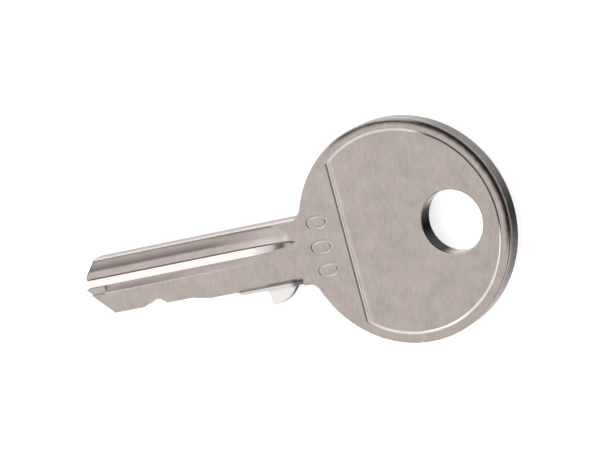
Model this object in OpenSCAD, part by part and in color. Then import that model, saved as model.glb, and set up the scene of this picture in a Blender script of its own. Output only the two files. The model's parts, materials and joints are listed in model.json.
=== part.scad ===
// Flat key for a cylinder lock, cut from one strip of metal. All sizes are in millimetres.
// The key lies on its back. The origin is on the ring hole's axis, in the plane of the back.
// +X points from the tip to the bow, +Y from the cut edge to the spine, +Z out of the front.

/* [Bow] */
// Diameter of the round bow
bow_d = 23; // [20:0.5:27]
// Thickness of the strip that the key is cut from
thickness = 2.3; // [2:0.1:3]
// Radius of the rounded edges on the front
front_r = 0.2; // [0.1:0.05:0.4]
// Radius of the rounded edges on the back
back_r = 0.2; // [0.1:0.05:0.4]
// Radius of the wear on the front edge, on the side of the bow that rubs in the key ring
wear_r = 0.8; // [0.5:0.05:1.2]
// Width of the wear where it is widest
wear_w = 0.65; // [0.3:0.05:0.8]
// Way that the worn side faces, turned from the key's length
wear_way = 40; // [-60:5:60]
// How far the wear lies off the bow's middle, which makes it fade out to both sides
wear_off = 0.7; // [0.5:0.05:1]

/* [Ring hole] */
// Diameter of the hole for a key ring
hole_d = 6.6; // [4:0.2:8]
// Metal left between the hole and the bow's far edge
hole_wall = 2.75; // [2:0.05:4]

/* [Coined panel] */
// Width of the rim that stands round the panel
rim_w = 0.95; // [0.8:0.05:2]
// Depth of the panel below the rim
panel_depth = 0.12; // [0.06:0.02:0.3]
// Width of the sloping wall between the rim and the panel
panel_slope = 0.17; // [0.1:0.01:0.3]
// Width of the plain field for the number, from the bow's edge to the panel's straight side
field_w = 5.05; // [4:0.05:7]

/* [Blade] */
// Width of the blade, from the cut edge to the spine
blade_w = 7; // [6.4:0.1:8]
// Length of the blade, from the stop to the tip
blade_len = 20.6; // [19.5:0.1:26]
// Length of the neck, from the bow to the stop
neck_len = 5.6; // [5:0.1:9]
// Radius of the corners between the bow and the neck
neck_r = 1.2; // [0.6:0.1:2]

/* [Tip] */
// Angle of the tip's slope on the spine side, from the blade's length
tip_top_angle = 43; // [35:1:60]
// Angle of the tip's slope on the cut side
tip_low_angle = 45; // [35:1:55]
// Height of the tip's point above the middle of the blade
tip_rise = 1.1; // [0:0.1:1.5]
// Radius of the tip's point
tip_r = 1.3; // [0.6:0.1:1.8]
// Length of the small flat that is milled beside the groove at the tip
land_len = 2.4; // [1:0.1:4]
// Depth of that flat
land_depth = 0.3; // [0.1:0.05:0.6]

/* [Milled front] */
// Width of the rib that stays along the spine
rib_w = 0.15; // [0.1:0.01:0.5]
// Depth of the upper groove beside the rib
shoulder_depth = 0.6; // [0.3:0.05:0.8]
// Greatest depth of the upper groove
upper_depth = 1.1; // [0.8:0.05:1.3]
// From the spine to the bottom of the upper groove
upper_at = 1.45; // [0.8:0.05:1.5]
// Depth of the upper groove where the lower one starts
ridge_depth = 1.02; // [0.7:0.02:1.1]
// Greatest depth of the lower groove
lower_depth = 1.2; // [1.12:0.02:1.4]
// From the spine to the bottom of the lower groove
lower_at = 2.3; // [2:0.05:2.6]
// Width of the lower groove's floor
floor_w = 0.75; // [0.4:0.05:1]
// Rise of that floor away from the spine
floor_rise = 0.2; // [0:0.02:0.3]
// Width of the flank that leads from the floor to the front
flank_w = 0.65; // [0.4:0.05:1]
// Width of the small bevel between the flank and the front
edge_w = 0.15; // [0.05:0.01:0.3]
// Depth of that bevel
edge_depth = 0.05; // [0.02:0.01:0.1]
// Diameter of the milling cutter, which shapes the grooves' ends
cutter_d = 56; // [40:1:70]
// From the bow to the place where the cutter leaves its full depth
cutter_end = 8.5; // [8:0.1:12]

/* [Back groove] */
// From the spine to the groove on the back
back_at = 4.4; // [4:0.1:4.6]
// Width of the groove on the back
back_w = 1.2; // [0.8:0.1:1.4]
// Depth of the groove on the back
back_depth = 0.6; // [0.3:0.05:0.8]

/* [Stepped edge] */
// Thickness left along the cut edge, which is also the thickness of the stop
step_h = 1; // [0.8:0.05:1.3]
// Width of the step along the uncut edge
step_w = 0.35; // [0.2:0.05:0.6]
// Width of the bevel above the step
bevel_w = 0.55; // [0.3:0.05:0.9]
// From the bow to the end of the step
step_gap = 0.7; // [0.4:0.1:1.5]

/* [Stop] */
// How far the stop stands out below the blade
stop_drop = 1.6; // [1.2:0.1:2.2]
// Radius of the stop's round side
stop_r = 3.3; // [3:0.1:3.8]
// Radius of the corners on the stop's flat side
stop_corner = 0.4; // [0.2:0.05:0.6]
// Radius of the hollow between the stop's round side and the blade
stop_hollow = 1; // [0.4:0.1:1.6]

/* [Bitting] */
// Depth of the four cuts below the blade's edge, from the stop to the tip
cut_depth = [0.47, 1, 1.57, 1]; // [0.3:0.01:2]
// From the stop to the near end of each cut's flat
cut_near = [3.4, 7.9, 11.85, 14.1]; // [3:0.05:16]
// From the stop to the far end of each cut's flat
cut_far = [6.5, 11.1, 13.3, 18.6]; // [5:0.05:20]
// Length of the slope that leads into the first cut
cut_ramp = 0.2; // [0.1:0.05:0.5]

/* [Hidden] */
$fn = 96;

bow_r = bow_d / 2;
// Middle of the bow, seen from the ring hole
bow_x = hole_wall + hole_d / 2 - bow_r;
panel_r = bow_r - rim_w;
// Places along the key, seen from the middle of the bow
stop_x = -bow_r - neck_len;
tip_x = stop_x - blade_len;
mill_x = -bow_r - cutter_end;
step_x = -bow_r - step_gap;
spine = blade_w / 2;
cutter_r = cutter_d / 2;
// How far the rib's wall leans back for each millimetre of its height
rib_lean = 1 / 6;
// Faces that run into each other cross by this much instead of only touching
lap = 0.005;
// How far cuts reach past the faces they open
past = 1;

// What the rounding takes off a corner at the origin, with the metal to its lower left
module corner(r) {
    translate([-r, -r]) difference() {
        square(2 * r);
        circle(r);
    }
}

// Rounds both edges of a plate's section, whose outer wall is at x
module edge_rounding(x) {
    translate([x, thickness]) corner(front_r);
    translate([x, 0]) mirror([0, 1]) corner(back_r);
}

// Section drawn in the plane across the key, extruded from one place along it to another
module along_key(from, to) {
    translate([from, 0, 0]) rotate([90, 0, 90]) linear_extrude(to - from) children();
}

module bow() {
    rotate_extrude() difference() {
        square([bow_r, thickness]);
        edge_rounding(bow_r);
    }
}

// Ring off the bow's middle, which takes the front edge away on the worn side only
module worn_edge() {
    reach = bow_r - wear_w + wear_off + wear_r;
    rotate(wear_way) intersection() {
        translate([-wear_off, 0, 0]) rotate_extrude() translate([reach, thickness]) corner(wear_r);
        translate([0, -bow_d, 0]) cube([bow_d, 2 * bow_d, thickness + past]);
    }
}

module blade_blank() {
    along_key(tip_x, -bow_r / 2) difference() {
        translate([-spine, 0]) square([blade_w, thickness]);
        edge_rounding(spine);
        mirror([1, 0]) edge_rounding(spine);
    }
}

// Metal that fills the corner between the neck and the bow, with the same rounded edges
module neck_corner() {
    y = spine + neck_r - lap;
    x = -sqrt(pow(bow_r + neck_r - lap, 2) - y * y);
    difference() {
        linear_extrude(thickness) polygon([[0, 0], [x, 0], [x, y]]);
        translate([x, y, 0]) rotate_extrude() {
            translate([0, -past]) square([neck_r, thickness + 2 * past]);
            translate([neck_r, thickness]) mirror([1, 0]) corner(front_r);
            translate([neck_r, 0]) rotate(180) corner(back_r);
        }
    }
}

// Thin lug on the cut edge: its flat side meets the lock and sets how deep the key goes in
module stop() {
    edge = -spine;
    // Middles of the round side and of the hollow beside it
    round_at = [stop_x + stop_corner, edge - stop_drop + stop_r];
    hollow_y = edge - stop_hollow + lap;
    hollow_x = round_at.x + sqrt(pow(stop_r + stop_hollow - lap, 2) - pow(round_at.y - hollow_y, 2));
    linear_extrude(step_h) {
        difference() {
            intersection() {
                translate(round_at) circle(stop_r);
                translate([stop_x, edge - stop_drop - past])
                    square([2 * stop_r, stop_drop + past + step_w]);
            }
            translate([stop_x + stop_corner, edge - stop_drop + stop_corner]) rotate(180)
                translate([stop_corner, stop_corner]) corner(stop_corner);
        }
        // Hollow between the round side and the blade
        difference() {
            polygon([round_at, [hollow_x, hollow_y], [hollow_x, round_at.y]]);
            translate([hollow_x, hollow_y]) circle(stop_hollow);
        }
        // Inside corner between the flat side and the blade
        difference() {
            translate([stop_x - stop_corner, edge - stop_corner])
                square([stop_corner + lap, stop_corner + step_w]);
            translate([stop_x - stop_corner, edge - stop_corner]) circle(stop_corner);
        }
    }
}

module ring_hole() {
    translate([-bow_x, 0, -past]) cylinder(h = thickness + 2 * past, d = hole_d);
}

// Pressed field on the front of the bow: a circle with one straight side, and sloping walls
module panel() {
    floor_x = field_w - bow_r + panel_slope;
    lean = panel_slope / panel_depth;
    translate([0, 0, thickness - panel_depth]) intersection() {
        cylinder(h = 2 * panel_depth, r1 = panel_r - panel_slope, r2 = panel_r + panel_slope);
        translate([0, bow_r, 0]) rotate([90, 0, 0]) linear_extrude(bow_d)
            polygon([[floor_x, 0], [bow_r, 0], [bow_r, past], [floor_x - lean * past, past]]);
    }
}

// Depths across the milled front, each as [place above the middle of the blade, depth].
// At the tip the flank gives way to a small flat.
function mill_line(at_tip) = let (
    flank_y = spine - lower_at - floor_w,
    flank_depth = lower_depth - floor_rise,
    end_y = flank_y - flank_w
) concat([
    [spine - rib_w + rib_lean * shoulder_depth, -shoulder_depth],
    [spine - rib_w - rib_lean * shoulder_depth, shoulder_depth],
    [spine - upper_at, upper_depth],
    [spine - lower_at + (lower_depth - ridge_depth), ridge_depth],
    [spine - lower_at, lower_depth],
    [flank_y, flank_depth]
], at_tip ? [
    [flank_y, land_depth],
    [end_y, land_depth],
    [end_y - land_depth, -shoulder_depth]
] : [
    [end_y, edge_depth],
    [end_y - edge_w * (1 + shoulder_depth / edge_depth), -shoulder_depth]
]);

// One pass of the form cutter from the tip towards the bow. The cutter is a disc with the
// grooves' shape on its rim, so every groove runs out along the disc's own curve.
module milled_front() {
    line = mill_line(false);
    along_key(tip_x + land_len, mill_x)
        polygon([for (p = line) [p[0], thickness - p[1]]]);
    along_key(tip_x - past, tip_x + land_len + lap)
        polygon([for (p = mill_line(true)) [p[0], thickness - p[1]]]);
    translate([mill_x, 0, thickness - lower_depth + cutter_r - lap]) rotate([-90, 0, 0])
        rotate_extrude() polygon([for (p = line) [cutter_r - lower_depth + p[1], p[0]]]);
}

// Groove on the back, milled by a disc of the same diameter
module back_groove() {
    y = spine - back_at - back_w;
    along_key(tip_x - past, mill_x)
        translate([y, -past]) square([back_w, back_depth + past]);
    translate([mill_x, y, back_depth - cutter_r + lap]) rotate([-90, 0, 0])
        cylinder(h = back_w, r = cutter_r);
}

module stepped_edge() {
    inner = step_w - spine;
    lean = bevel_w / (thickness - step_h);
    along_key(tip_x - past, step_x) polygon([
        [-spine - past, step_h], [inner, step_h],
        [inner + bevel_w + lean * past, thickness + past], [-spine - past, thickness + past]
    ]);
}

// The four cuts that the lock's levers or pins read, and the slope behind the last one
module bitting() {
    cuts = [for (i = [0 : len(cut_depth) - 1]) each [
        [stop_x - cut_near[i], cut_depth[i] - spine], [stop_x - cut_far[i], cut_depth[i] - spine]
    ]];
    start = stop_x - cut_near[0] + cut_ramp;
    end = stop_x - cut_far[len(cut_far) - 1];
    translate([0, 0, -past]) linear_extrude(thickness + 2 * past)
        polygon(concat([[start, -spine - past], [start, -spine]], cuts, [[end, -spine - past]]));
}

// Takes the blade's end off along two slopes and leaves a round point between them
module tip() {
    centre = [tip_x + tip_r, tip_rise];
    reach = 2 * blade_w;
    // Where each slope meets the round point, and the way it runs from there
    top = tip_r * [-sin(tip_top_angle), cos(tip_top_angle)];
    top_run = [cos(tip_top_angle), sin(tip_top_angle)];
    low = tip_r * [-sin(tip_low_angle), -cos(tip_low_angle)];
    low_run = [cos(tip_low_angle), -sin(tip_low_angle)];
    translate([0, 0, -past]) linear_extrude(thickness + 2 * past) difference() {
        translate([tip_x - past, -blade_w]) square([blade_w + past, 2 * blade_w]);
        translate(centre) {
            circle(tip_r);
            polygon([[reach, 0], top + reach * top_run, top, low, low + reach * low_run]);
        }
    }
}

module key() {
    color([0.72, 0.69, 0.66]) translate([bow_x, 0, 0]) difference() {
        union() {
            bow();
            blade_blank();
            neck_corner();
            mirror([0, 1, 0]) neck_corner();
            stop();
        }
        ring_hole();
        worn_edge();
        panel();
        milled_front();
        back_groove();
        stepped_edge();
        bitting();
        tip();
    }
}

key();
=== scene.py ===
import json
import math

import bmesh
import bpy
from mathutils import Matrix, Vector


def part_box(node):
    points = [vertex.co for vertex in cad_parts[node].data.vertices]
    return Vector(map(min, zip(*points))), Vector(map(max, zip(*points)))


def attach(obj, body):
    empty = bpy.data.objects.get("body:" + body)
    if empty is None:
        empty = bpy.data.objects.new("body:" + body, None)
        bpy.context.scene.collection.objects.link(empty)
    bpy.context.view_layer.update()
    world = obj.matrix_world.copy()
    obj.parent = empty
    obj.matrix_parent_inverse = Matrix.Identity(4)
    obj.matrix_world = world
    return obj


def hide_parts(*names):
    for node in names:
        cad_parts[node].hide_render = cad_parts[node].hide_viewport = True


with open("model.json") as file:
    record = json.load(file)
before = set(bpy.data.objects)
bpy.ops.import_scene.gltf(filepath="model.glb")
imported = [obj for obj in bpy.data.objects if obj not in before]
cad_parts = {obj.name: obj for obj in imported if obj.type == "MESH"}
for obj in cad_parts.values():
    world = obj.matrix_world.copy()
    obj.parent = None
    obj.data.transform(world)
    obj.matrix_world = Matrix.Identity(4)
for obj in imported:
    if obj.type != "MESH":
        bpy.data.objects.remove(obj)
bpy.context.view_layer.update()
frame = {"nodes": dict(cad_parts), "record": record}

# The blank: one piece of nickel silver strip, punched out in a press, coined on the bow, milled along
# the front and cut to its code. The CAD solid gives every form of it. Its loose triangles are merged
# here, and each flat face becomes one polygon.
MM = 0.001
snap = 0.01 * MM
merge_gap = 0.0005 * MM
flat_angle = math.radians(0.4)

low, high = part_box("key")
hole = next(mount for mount in frame["record"]["mounts"] if mount["name"] == "ring_hole")["dims"]
hole_r = hole["r_mm"] * MM
panel_z = hole["length_mm"] * MM
thickness = high.z
bow_r = high.y
bow_x = high.x - bow_r
neck_x = bow_x - bow_r

blank = bmesh.new()
blank.from_mesh(frame["nodes"]["key"].data)
bmesh.ops.remove_doubles(blank, verts=blank.verts, dist=merge_gap)
bmesh.ops.dissolve_limit(blank, angle_limit=flat_angle, verts=blank.verts, edges=blank.edges)

spine_y = max(vert.co.y for vert in blank.verts if vert.co.x < (low.x + neck_x) / 2)
stop_y = min(vert.co.y for vert in blank.verts if vert.co.x < neck_x)
step_z = max(vert.co.z for vert in blank.verts if vert.co.x < neck_x and vert.co.y < stop_y + snap)

# The corners: the punch leaves a burr round the ring hole and the stop, and tumbling wears it to a small
# round edge. The die that coins the panel has a round foot, so the panel's wall ends in a hollow.
hole_break = 0.06 * MM
hole_slack = 0.03 * MM
stop_break = 0.16 * MM
panel_foot = 0.07 * MM
round_steps = 3
wall_lean = 0.15


def at_height(edge, z):
    return all(abs(vert.co.z - z) < snap for vert in edge.verts)


def in_hole(point):
    return abs(point.xy.length - hole_r) < hole_slack


def on_stop(edge):
    beside_wall = any(abs(face.normal.z) < wall_lean for face in edge.link_faces)
    return beside_wall and all(vert.co.y < snap - spine_y and vert.co.x < neck_x for vert in edge.verts)


def soften(edges, width):
    bmesh.ops.bevel(blank, geom=edges, offset=width, segments=round_steps, profile=0.5, affect="EDGES",
                    clamp_overlap=True)


soften([edge for edge in blank.edges
        if (at_height(edge, panel_z) or at_height(edge, 0)) and all(in_hole(vert.co) for vert in edge.verts)],
       hole_break)
soften([edge for edge in blank.edges if at_height(edge, step_z) and edge.is_convex and on_stop(edge)],
       stop_break)
soften([edge for edge in blank.edges
        if at_height(edge, panel_z) and not edge.is_convex and not in_hole(edge.verts[0].co)],
       panel_foot)

# The finish: bare metal all over. Tumbling leaves the faces satin, the milling cutter its fine lines,
# the press a smooth edge and panel wall, and the punch dull walls. Each of them is a material, and the
# shade functions paint shade and highlights into their tones.


class Tree:
    """A node tree. node() adds one node: its settings come first, then the values or wires of its sockets."""

    def __init__(self, tree):
        self.tree = tree
        tree.nodes.clear()

    def node(self, kind, settings=None, inputs=None, output=0):
        added = self.tree.nodes.new(kind)
        for name, value in (settings or {}).items():
            setattr(added, name, value)
        for name, value in (inputs or {}).items():
            if isinstance(value, Wire):
                self.tree.links.new(value.socket, added.inputs[name])
            else:
                added.inputs[name].default_value = value
        return Wire(self, added.outputs[output]) if len(added.outputs) else None


class Wire:
    """An output socket. Python's operators on it add Math nodes."""

    def __init__(self, owner, socket):
        self.owner = owner
        self.socket = socket

    def other(self, name):
        return Wire(self.owner, self.socket.node.outputs[name])

    def math(self, operation, first, second):
        return self.owner.node("ShaderNodeMath", {"operation": operation}, {0: first, 1: second})

    def __add__(self, term):
        return self.math("ADD", self, term)

    def __sub__(self, term):
        return self.math("SUBTRACT", self, term)

    def __rsub__(self, term):
        return self.math("SUBTRACT", term, self)

    def __mul__(self, term):
        return self.math("MULTIPLY", self, term)

    def __truediv__(self, term):
        return self.math("DIVIDE", self, term)

    def __rtruediv__(self, term):
        return self.math("DIVIDE", term, self)

    def __abs__(self):
        return self.math("ABSOLUTE", self, 0.0)

    __radd__ = __add__
    __rmul__ = __mul__


def rise(value, start, end, course="SMOOTHSTEP"):
    """Runs from 0 to 1 while value goes from start to end."""
    return value.owner.node("ShaderNodeMapRange", {"interpolation_type": course},
                            {"Value": value, "From Min": start, "From Max": end})


def fall(value, start, end):
    """Runs from 1 to 0 while value goes from start to end."""
    return 1.0 - rise(value, start, end)


def noise(place, per_mm, detail=3.0):
    """Noise with a mean of 0. Its grains lie as close in each direction as per_mm says."""
    where = place.owner.node("ShaderNodeVectorMath", {"operation": "MULTIPLY"}, {0: place, 1: per_mm})
    grains = place.owner.node("ShaderNodeTexNoise", None, {"Vector": where, "Scale": 1.0, "Detail": detail})
    return grains - 0.5


def scaled(vector, factor):
    return vector.owner.node("ShaderNodeVectorMath", {"operation": "SCALE"}, {0: vector, "Scale": factor})


def axes(vector):
    """The three numbers of a vector."""
    x = vector.owner.node("ShaderNodeSeparateXYZ", None, {"Vector": vector}, output="X")
    return x, x.other("Y"), x.other("Z")


def new_material(name):
    """A material, its tree, and the place on the key in millimetres."""
    material = bpy.data.materials.new(name)
    material.use_nodes = True
    tree = Tree(material.node_tree)
    return material, tree, scaled(tree.node("ShaderNodeTexCoord", output="Object"), 1 / MM)


def bare_metal(tree, colour, tone, roughness, height, bump):
    """Bare metal of one colour, darkened by tone, with its grain raised by bump millimetres."""
    colour = tree.node("ShaderNodeVectorMath", {"operation": "SCALE"}, {0: colour, "Scale": tone})
    normal = tree.node("ShaderNodeBump", None, {"Strength": 1.0, "Distance": bump * MM, "Height": height})
    surface = tree.node("ShaderNodeBsdfPrincipled", None,
                        {"Base Color": colour, "Roughness": roughness, "Metallic": 1.0, "Normal": normal,
                         "Specular Tint": (0.6, 0.6, 0.6, 1)})
    tree.node("ShaderNodeOutputMaterial", None, {"Surface": surface})


def metal(name, colour, roughness, grain, bump, spread, shade=None):
    """Metal with one fine grain in its tone, gloss and height, with uneven clouds, and a shade over it."""
    cloud, cloud_detail, gloss_spread = (0.6, 0.6, 0.6), 6.0, 0.12
    material, tree, place = new_material(name)
    lines = noise(place, grain)
    tone = 1.0 + (lines + noise(place, cloud, cloud_detail)) * spread
    if shade:
        tone = tone * shade(place)
    bare_metal(tree, colour, tone, lines * gloss_spread + roughness, lines, bump)
    return material


def bow_place(place):
    """How far a place lies outside the bow's edge, and the way to it from the bow's centre."""
    x, y, z = axes(place)
    out_x = x - bow_x / MM
    out = place.owner.node("ShaderNodeCombineXYZ", None, {"X": out_x, "Y": y})
    radius = place.owner.node("ShaderNodeVectorMath", {"operation": "LENGTH"}, {0: out}, output="Value")
    return radius - bow_r / MM, (out_x / radius, y / radius)


def blade_place(place):
    """How far a place lies beyond the bow along the blade, and below the spine across it."""
    x, y, z = axes(place)
    return neck_x / MM - x, spine_y / MM - y


def toward(way, degrees):
    turn = math.radians(degrees)
    return way[0] * math.cos(turn) + way[1] * math.sin(turn)


def face_shade(place):
    """Painted shade on one side of the bow's worn edge, and a painted highlight as a light line beside the
    panel's straight edge.
    """
    front_z, worn_way, worn_side = (1.0, 1.5), 50, (0.25, 0.55)
    painted_shade, shade_edge, shade_grain, ragged = 0.93, (-0.65, -0.15), (2, 2, 2), 0.25
    unshaded_side, unshaded_edge = (0.88, 1.0), (-0.25, -0.05)
    light, line_start, line_end, line_top = 0.22, (0.16, 0.3), (0.4, 0.65), (0.02, 0.06)
    x, y, z = axes(place)
    outside, way = bow_place(place)
    front = rise(z, *front_z)
    # Painted shade: the worn edge darkens on the side that worn_way points to, not along its top, out to a
    # ragged border.
    worn = rise(toward(way, worn_way), *worn_side) * front
    worn = worn * (1.0 - rise(way[1], *unshaded_side) * rise(outside, *unshaded_edge))
    worn = worn * rise(outside + noise(place, shade_grain) * ragged, *shade_edge)
    # Painted highlight: a light line just beyond the panel's straight edge, on the front only.
    beyond = x - chord_x / MM
    painted_highlight = rise(beyond, *line_start) * fall(beyond, *line_end) * front
    painted_highlight = painted_highlight * fall(z - panel_z / MM, *line_top)
    return (1.0 - worn * painted_shade) * (1.0 + painted_highlight * light)


def coined_shade(place):
    """Painted shade in the panel's corner, on the side that worn_way points to."""
    worn_way, worn_side, painted_shade = 28, (0.74, 0.86), 0.88
    outside, way = bow_place(place)
    return 1.0 - rise(toward(way, worn_way), *worn_side) * painted_shade


def milled_shade(place):
    """Painted shade in the upper groove's valley, in the corner under the rib, on the bevel of the cut edge
    and along the tip, and a painted highlight as a lighter strip beside the ridge where the cutter runs out."""
    cutter_out = (6.05, 12.05)
    valley_shade, valley_start, valley_end = 0.5, (0.6, 1.2), (1.25, 1.55)
    rib_shade, rib_corner, end_shade, end_corner = 0.35, (0.3, 0.42), 0.25, (0.4, 0.65)
    strip_light, strip_start, strip_end = 0.12, (1.5, 1.9), (2.1, 2.3)
    bevel_shade, bevel_start, tip_shade, tip_edge = 0.15, (6.05, 6.15), 0.5, (-0.22, -0.02)
    along, across = blade_place(place)
    x, y, z = axes(place)
    run_out = fall(along, *cutter_out)
    # Painted shade in the valley, the corners, on the bevel and along the tip; painted highlight in the
    # strip.
    valley = rise(across, *valley_start, "LINEAR") * fall(across, *valley_end) * (1.0 - run_out)
    corner = fall(across, *rib_corner) * rib_shade + fall(across, *end_corner) * run_out * end_shade
    bevel = rise(across, *bevel_start)
    strip = rise(across, *strip_start) * fall(across, *strip_end) * run_out
    tip = rise(toward((x - tip_slope.x / MM, y - tip_slope.y / MM), tip_way), *tip_edge)
    groove = 1.0 - valley * valley_shade - corner - bevel * bevel_shade + strip * strip_light
    return groove * (1.0 - tip * tip_shade)


def flank_shade(place):
    """Painted shade darkens the flank towards its lower edge, most near the tip."""
    shade_amount, lower_edge, tip_end = 0.35, (3.05, 3.6), (10.05, 20.05)
    along, across = blade_place(place)
    return 1.0 - rise(across, *lower_edge) * rise(along, *tip_end) * shade_amount


def floor_shade(place):
    """The lower groove's end near the bow is darker: painted shade."""
    shade_amount, groove_end = 0.3, (2.05, 2.75)
    return 1.0 - fall(blade_place(place)[0], *groove_end) * shade_amount


def step_shade(place):
    """Painted shade makes the step a little darker than the stop, and darker still in the corner beside the
    neck.
    """
    shade_amount, step_edge, painted_shade, neck_corner = 0.2, (6.9, 7.3), 0.6, (2.35, 3.05)
    along, across = blade_place(place)
    return 1.0 - fall(across, *step_edge) * (fall(along, *neck_corner) * painted_shade + shade_amount)


def stop_shade(place):
    """The stop's wall is painted lighter overall, and painted shade darkens it in the corner beside the
    blade.
    """
    light, painted_shade, blade_corner = 1.5, 1.2, (7.1, 8.1)
    return light - fall(blade_place(place)[1], *blade_corner) * painted_shade


def punched(name, smooth_tones, torn_tones, border, ragged):
    """A punched wall: smooth down to a ragged border, and torn below it. Painted shade makes it dark where it
    faces along the key and painted light makes it lighter where it faces across. The tones are for walls
    along, between and across."""
    colour, roughness, gloss, bump = (1.0, 0.925, 0.9), 0.5, 0.2, 0.012
    slanting, spine_side, cut_side = (0.0, 0.6), (0.8, 1.0), (-0.85, -0.45)
    wave, grain, cloud, cloud_detail, spread = (1.6, 1.6, 0.1), (6, 6, 1.2), (2.5, 2.5, 2.5), 4.0, 0.4
    half_border, painted_shade, shade_height = 0.1, 0.6, (1.85, 2.1)
    material, tree, place = new_material(name)
    facing = axes(tree.node("ShaderNodeTexCoord", output="Normal"))[1]
    # The tone by the way the wall faces is painted light and painted shade.
    between = rise(abs(facing), *slanting)
    across = rise(facing, *spine_side) + fall(facing, *cut_side)
    z = axes(place)[2]
    smooth = rise(z + noise(place, wave) * ragged, border - half_border, border + half_border)
    smooth_tone, torn_tone = (between * tones[1] + across * tones[2] + tones[0]
                              for tones in (smooth_tones, torn_tones))
    tone = smooth * smooth_tone + (1.0 - smooth) * torn_tone
    lines = noise(place, grain)
    tone = tone * (1.0 + (lines + noise(place, cloud, cloud_detail)) * spread)
    # Painted shade near the top of the wall.
    tone = tone * (1.0 - rise(z, *shade_height) * painted_shade)
    bare_metal(tree, colour, tone, roughness - smooth * gloss, lines * (1.0 - smooth), bump)
    return material


chord_x = bow_x - 6.28 * MM
tip_slope = Vector((low.x, spine_y)) + Vector((1.05, -0.85)) * MM
tip_way = 133
tumbled = metal("tumbled face", colour=(0.485, 0.428, 0.402), roughness=0.36, grain=(4.5, 1.3, 4.5),
                bump=0.0016, spread=0.36, shade=face_shade)
worn = metal("worn edge", colour=(0.52, 0.465, 0.44), roughness=0.26, grain=(6, 6, 6),
             bump=0.0008, spread=0.3, shade=face_shade)
coined = metal("coined wall", colour=(0.86, 0.81, 0.78), roughness=0.13, grain=(6, 6, 6),
               bump=0.0008, spread=0.15, shade=coined_shade)
milled = metal("milled groove", colour=(0.50, 0.445, 0.42), roughness=0.22, grain=(0.8, 9, 9),
               bump=0.0012, spread=0.24, shade=milled_shade)
# The flank is the groove's milled metal, and its near-white colour is painted light.
flank = metal("milled flank", colour=(1.0, 0.917, 0.89), roughness=0.6, grain=(0.8, 9, 9),
              bump=0.0012, spread=0.2, shade=flank_shade)
milled_floor = metal("milled floor", colour=(0.46, 0.446, 0.436), roughness=0.18, grain=(1.0, 9, 9),
                     bump=0.0008, spread=0.05, shade=floor_shade)
rubbed = metal("rubbed rib", colour=(0.80, 0.76, 0.735), roughness=0.25, grain=(1.0, 9, 9),
               bump=0.0008, spread=0.2)
bright = metal("bright cut", colour=(0.90, 0.88, 0.86), roughness=0.18, grain=(1.0, 9, 9),
               bump=0.0008, spread=0.05, shade=step_shade)
# The stop's wall is dark metal: painted shade, where it faces away from the softbox.
stop_wall = metal("stop's wall", colour=(0.2, 0.18, 0.17), roughness=0.4, grain=(6, 6, 1.5),
                  bump=0.004, spread=0.3, shade=stop_shade)
# The tones of the punched walls and of the hole by the way they face are painted light and painted shade.
sheared = punched("punched wall", smooth_tones=(0.3, 0.1, 0.28), torn_tones=(0.04, 0.27, 0.31),
                  border=1.75, ragged=0.5)
bore = punched("punched hole", smooth_tones=(0.0, 0.06, 0.65), torn_tones=(0.0, 0.1, 0.8),
               border=1.7, ragged=0.6)
finishes = [tumbled, worn, coined, milled, flank, milled_floor, rubbed, bright, stop_wall, sheared, bore]

rib_y = spine_y - 0.15 * MM
groove_end_y = spine_y - 3.86 * MM
back_groove_y = spine_y - 0.3 * MM
panel_r = bow_r - 0.9 * MM
floor_lean, lean_slack = 0.258, 0.02
flank_lean = 0.7
upward, level = 0.9, 0.995


def finish_of(face):
    """The finish of one face of the blank, told by its place and by the way it points."""
    place, way = face.calc_center_median(), face.normal
    on_blade = place.x < neck_x
    below_front = place.z < thickness - snap
    if abs(way.z) < wall_lean:
        if in_hole(place):
            return bore
        if on_blade and place.z < step_z and place.y < -spine_y - snap:
            return stop_wall
        return bright if on_blade and place.z > step_z and abs(place.y) < rib_y else sheared
    if abs(place.z - step_z) < snap and way.z > upward:
        return bright
    if on_blade and 0 < way.z:
        if place.y > rib_y - snap:
            return rubbed
        if below_front and place.y > groove_end_y:
            if abs(way.y - floor_lean) < lean_slack:
                return milled_floor
            if way.y > flank_lean:
                return flank
            return tumbled if way.y > floor_lean else milled
        if below_front and place.y < 0:
            return milled if place.z > step_z + snap else bright
    if on_blade and way.z < 0 and place.z > snap and abs(place.y) < back_groove_y:
        return milled
    if way.z > level or place.z < snap:
        return tumbled
    on_panel = (place.xy - Vector((bow_x, 0))).length < panel_r and place.z > panel_z - snap
    return coined if on_panel and not on_blade else worn


for face in blank.faces:
    face.material_index = finishes.index(finish_of(face))

# The lower groove's end: the cutter's flank leaves the metal before its tip does, so the groove tapers to
# a point beside the ridge.
taper_x = bow_x - 18.5 * MM
taper_length = 6.5 * MM
taper = 0.75
ridge_y = spine_y - 2.3 * MM
for vert in blank.verts:
    in_groove = groove_end_y - snap < vert.co.y < ridge_y and vert.co.z > step_z + snap
    if in_groove and taper_x < vert.co.x < neck_x:
        along = min(1, (vert.co.x - taper_x) / taper_length)
        vert.co.y = ridge_y - (ridge_y - vert.co.y) * (1 - taper * along ** 2)
blank.normal_update()


def made(name, shape):
    """A finished bmesh as an object at the origin."""
    mesh = bpy.data.meshes.new(name)
    shape.to_mesh(mesh)
    shape.free()
    piece = bpy.data.objects.new(name, mesh)
    bpy.context.scene.collection.objects.link(piece)
    return piece


key = made("coined_key", blank)
key.data.attributes.remove(key.data.attributes["custom_normal"])
for finish in finishes:
    key.data.materials.append(finish)

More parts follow.
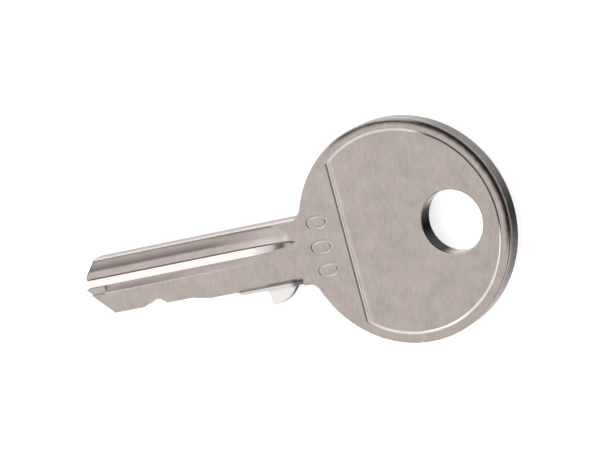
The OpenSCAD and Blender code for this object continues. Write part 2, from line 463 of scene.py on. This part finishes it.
# The number: three zeros on the field between the panel and the neck. They are stamped by hand one after
# another, so they stand a little uneven. Each is an oval groove with a round bottom.
digit_length = 2.15 * MM
digit_width = 1.15 * MM
stroke_r = 0.3 * MM
stroke_depth = 0.07 * MM
digit_pitch = 2.47 * MM
first_digit = Vector((bow_x - 9.05 * MM, 2.62 * MM, 0))
digit_turn = 0.09
digit_shift = Vector((0.1, 0.05, 0.012)) * MM

row_tree = bpy.data.node_groups.new("row of zeros", "GeometryNodeTree")
row_inputs = {"Length": digit_length, "Width": digit_width, "Stroke radius": stroke_r, "Pitch": digit_pitch,
              "First": first_digit, "Turn": digit_turn, "Shift": digit_shift, "Digits": 3, "Seed": 4,
              "Finish": worn}
row_kinds = {float: "NodeSocketFloat", int: "NodeSocketInt", Vector: "NodeSocketVector",
             bpy.types.Material: "NodeSocketMaterial"}
row_sockets = {name: row_tree.interface.new_socket(name, in_out="INPUT", socket_type=row_kinds[type(value)])
               for name, value in row_inputs.items()}
row_tree.interface.new_socket("Geometry", in_out="OUTPUT", socket_type="NodeSocketGeometry")

row = Tree(row_tree)
given = row.node("NodeGroupInput")


def either_way(size):
    """Random vectors between -size and size, the same in each run."""
    return row.node("FunctionNodeRandomValue", {"data_type": "FLOAT_VECTOR"},
                    {"Min": scaled(size, -1.0), "Max": size, "Seed": given.other("Seed")})


circle = row.node("GeometryNodeCurvePrimitiveCircle", {"mode": "RADIUS"}, {"Resolution": 48, "Radius": 0.5})
stretch = row.node("ShaderNodeCombineXYZ", None,
                   {"X": given.other("Length"), "Y": given.other("Width"), "Z": 1.0})
oval = row.node("GeometryNodeTransform", None, {"Geometry": circle, "Scale": stretch})
stroke = row.node("GeometryNodeCurvePrimitiveCircle", {"mode": "RADIUS"},
                  {"Resolution": 20, "Radius": given.other("Stroke radius")})
zero = row.node("GeometryNodeCurveToMesh", None, {"Curve": oval, "Profile Curve": stroke})
down = row.node("ShaderNodeCombineXYZ", None, {"Y": given.other("Pitch") * -1.0})
places = row.node("GeometryNodeMeshLine", None,
                  {"Count": given.other("Digits"), "Start Location": given.other("First"), "Offset": down})
places = row.node("GeometryNodeSetPosition", None,
                  {"Geometry": places, "Offset": either_way(given.other("Shift"))})
turn = row.node("ShaderNodeCombineXYZ", None, {"Z": given.other("Turn")})
zeros = row.node("GeometryNodeInstanceOnPoints", None,
                 {"Points": places, "Instance": zero, "Rotation": either_way(turn)})
zeros = row.node("GeometryNodeRealizeInstances", None, {"Geometry": zeros})
zeros = row.node("GeometryNodeSetMaterial", None, {"Geometry": zeros, "Material": given.other("Finish")})
row.node("NodeGroupOutput", None, {"Geometry": zeros})


def evaluated(piece):
    """The piece's mesh with its modifiers applied. They are removed."""
    mesh = bpy.data.meshes.new_from_object(piece.evaluated_get(bpy.context.evaluated_depsgraph_get()))
    piece.modifiers.clear()
    return mesh


punch = made("punch", bmesh.new())
stamp = punch.modifiers.new("row of zeros", "NODES")
stamp.node_group = row_tree
for name, value in row_inputs.items():
    stamp[row_sockets[name].identifier] = value
punch.data = evaluated(punch)
punch.data.transform(Matrix.Translation((0, 0, thickness + stroke_r - stroke_depth)))
cut = key.modifiers.new("stamped number", "BOOLEAN")
cut.operation = "DIFFERENCE"
cut.solver = "EXACT"
cut.material_mode = "TRANSFER"
cut.object = punch
key.data = evaluated(key)
bpy.data.objects.remove(punch)

# The shading: worn metal has no hard facets. Faces that meet at a low angle shade as one round surface,
# and the edges that the die, the cutter and the punch leave stay crisp.
crisp_angle = math.radians(24)
shape = bmesh.new()
shape.from_mesh(key.data)
for face in shape.faces:
    face.smooth = True
for edge in shape.edges:
    edge.smooth = edge.calc_face_angle(0) < crisp_angle
shape.to_mesh(key.data)
shape.free()
even = key.modifiers.new("even normals", "WEIGHTED_NORMAL")
even.keep_sharp = True
even.weight = 50
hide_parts("key")
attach(key, "root")

# The floor: a plain white table, which the key lies on. It is lit like the key and keeps its shadow. To
# the camera and in the metal it glows a little, so that it looks as white as paper.
floor_size = 1.5
floor_gap = 0.01 * MM
floor_colour = (0.93, 0.925, 0.92, 1)
floor_glow = 0.66
floor_mesh = bpy.data.meshes.new("floor")
corners = [(x * floor_size, y * floor_size, -floor_gap) for x, y in ((-1, -1), (1, -1), (1, 1), (-1, 1))]
floor_mesh.from_pydata(corners, [], [range(4)])
floor = bpy.data.objects.new("floor", floor_mesh)
bpy.context.scene.collection.objects.link(floor)
white = bpy.data.materials.new("white table")
white.use_nodes = True
table = Tree(white.node_tree)
seen = table.node("ShaderNodeLightPath", output="Is Camera Ray")
seen = seen.math("MAXIMUM", seen, seen.other("Is Glossy Ray"))
seen = seen.math("MAXIMUM", seen, table.node("ShaderNodeLightPath", output="Is Transmission Ray"))
paper = table.node("ShaderNodeBsdfDiffuse", None, {"Color": floor_colour})
glow = table.node("ShaderNodeEmission", None, {"Color": (1, 1, 1, 1), "Strength": seen * floor_glow})
surface = table.node("ShaderNodeAddShader", None, {0: paper, 1: glow})
table.node("ShaderNodeOutputMaterial", None, {"Surface": surface})
floor_mesh.materials.append(white)

# The softbox: one long soft lamp on the spine's side, beyond the tip and turned to the key. The lower
# groove's floor leans towards it and mirrors it.
softbox_way = Vector((-0.61, 0.34, 0.715)).normalized()
softbox_far = 0.8
softbox_level = 1.45
lamp = bpy.data.lights.new("softbox", "AREA")
lamp.shape = "RECTANGLE"
lamp.size = 0.4
lamp.size_y = 0.17
lamp.energy = softbox_level * math.pi * lamp.size * lamp.size_y
softbox = bpy.data.objects.new("softbox", lamp)
bpy.context.scene.collection.objects.link(softbox)
across = Vector((0, 1, 0)).cross(softbox_way).normalized()
softbox.matrix_world = (Matrix.Translation(softbox_way * softbox_far)
                        @ Matrix((across, softbox_way.cross(across), softbox_way)).transposed().to_4x4())

# The room: pale on the tip's side and brighter near the table, dark behind the camera, and dark in a
# patch round the softbox, as its black frame and its stand are.
room_colour = (1.0, 0.985, 0.975, 1)
room_dark = 0.2
room_pale = 0.75
tip_light = 0.6
cut_side_shadow = 0.2
patch_way = Vector((-0.79, 0.34, 0.51)).normalized()
room = bpy.data.worlds.new("room")
bpy.context.scene.world = room
room.use_nodes = True
walls = Tree(room.node_tree)
way = walls.node("ShaderNodeTexCoord", output="Generated")
way_x, way_y, way_z = axes(way)
near_patch = walls.node("ShaderNodeVectorMath", {"operation": "DOT_PRODUCT"}, {0: way, 1: patch_way},
                        output="Value")
behind_camera = rise(way_x, 0.0, 0.3) * rise(way_z, 0.25, 0.5)
tip_side = fall(way_x, -0.75, -0.5)
patch = rise(near_patch, 0.955, 0.98)
table_edge = fall(way_z, 0.05, 0.18) * fall(way_x, -0.1, 0.2)
cut_side = fall(way_y, -0.6, -0.3)
pale = (1.0 - behind_camera) * (1.0 - patch) * (1.0 - table_edge)
pale = pale * (tip_side * tip_light + 1.0) * (1.0 - cut_side * cut_side_shadow)
sky = walls.node("ShaderNodeBackground", None,
                 {"Color": room_colour, "Strength": pale * room_pale + room_dark})
walls.node("ShaderNodeOutputWorld", None, {"Surface": sky})

# The camera: it looks down on the key from the bow's side, through a long lens. Its back points away from
# the key, and its up to the top of the picture.
camera_place = Vector((121.28, 38.37, 271.35)) * MM
camera_back = Vector((0.45232, 0.11708, 0.88414))
camera_up = Vector((0.17751, 0.95969, -0.2179))
lens = bpy.data.cameras.new("camera")
lens.lens = 180
lens.sensor_width = 36
lens.clip_start = 0.01
camera = bpy.data.objects.new("camera", lens)
bpy.context.scene.collection.objects.link(camera)
camera_turn = Matrix((camera_up.cross(camera_back), camera_up, camera_back)).transposed()
camera.matrix_world = Matrix.Translation(camera_place) @ camera_turn.to_4x4()
bpy.context.scene.camera = camera
bpy.context.scene.view_settings.view_transform = "Standard"
